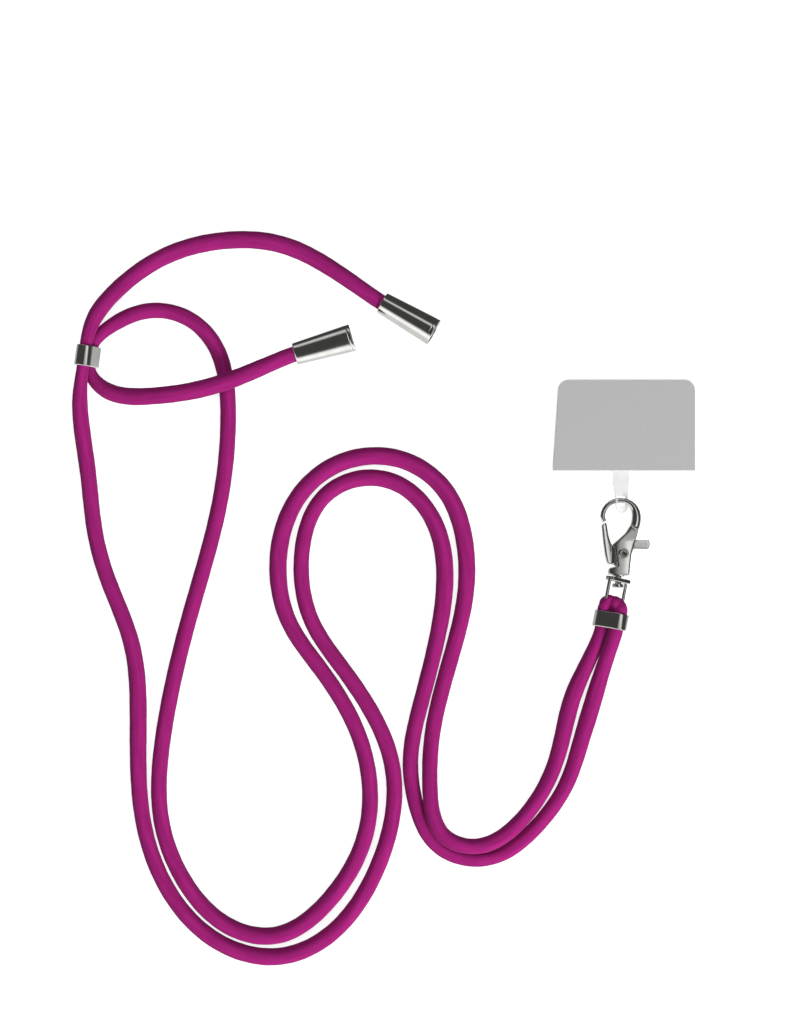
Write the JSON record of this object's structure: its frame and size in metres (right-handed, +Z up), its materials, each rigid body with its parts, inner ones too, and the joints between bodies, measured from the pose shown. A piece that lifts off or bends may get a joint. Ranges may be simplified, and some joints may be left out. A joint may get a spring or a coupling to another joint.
{
  "type": "phone crossbody strap",
  "caption": "Soft cord strap with a metal slider, conical end caps, a swivel clasp and a flat anchor card whose tab hooks into the clasp.",
  "frame": {"origin": "middle of the anchor card's underside, on the surface that the strap lies on", "axes": "+Z up from the surface, +Y along the card away from the clasp, +X to the right of the card seen from above"},
  "size_m": [0.2288, 0.269, 0.0134],
  "materials": {
    "cord": "fine knit with a soft satin sheen, magenta",
    "metal": "polished nickel plate",
    "clear_sheet": "clear, slightly milky",
    "grey_pad": "matte grey film"
  },
  "bodies": {
    "strap": {"cord_strand_a": "cord", "cord_strand_b": "cord", "cord_fold": "cord", "crimp_band": "metal", "slider_ring": "metal", "end_cap_a": "metal", "end_cap_b": "metal", "swivel_eye": "metal"},
    "hook": {"hook_body": "metal", "lever_pin": "metal", "anchor_sheet": "clear_sheet", "anchor_pad": "grey_pad"},
    "lever": {"hook_lever": "metal"}
  },
  "joints": [
    {"name": "hook_swivel", "type": "hinge", "parent": "strap", "child": "hook", "pos_m": [-0.0024, -0.055, 0.0044], "axis": [0.0609, 0.9956, -0.0715], "continuous": true},
    {"name": "lever_hinge", "type": "hinge", "parent": "hook", "child": "lever", "pos_m": [-0.00072, -0.0473, 0.00384], "axis": [-0.0044, -0.0714, -0.9974], "range_deg": [0, 25], "stiffness_Nm_per_rad": 0.01, "springref_deg": -34.38}
  ]
}
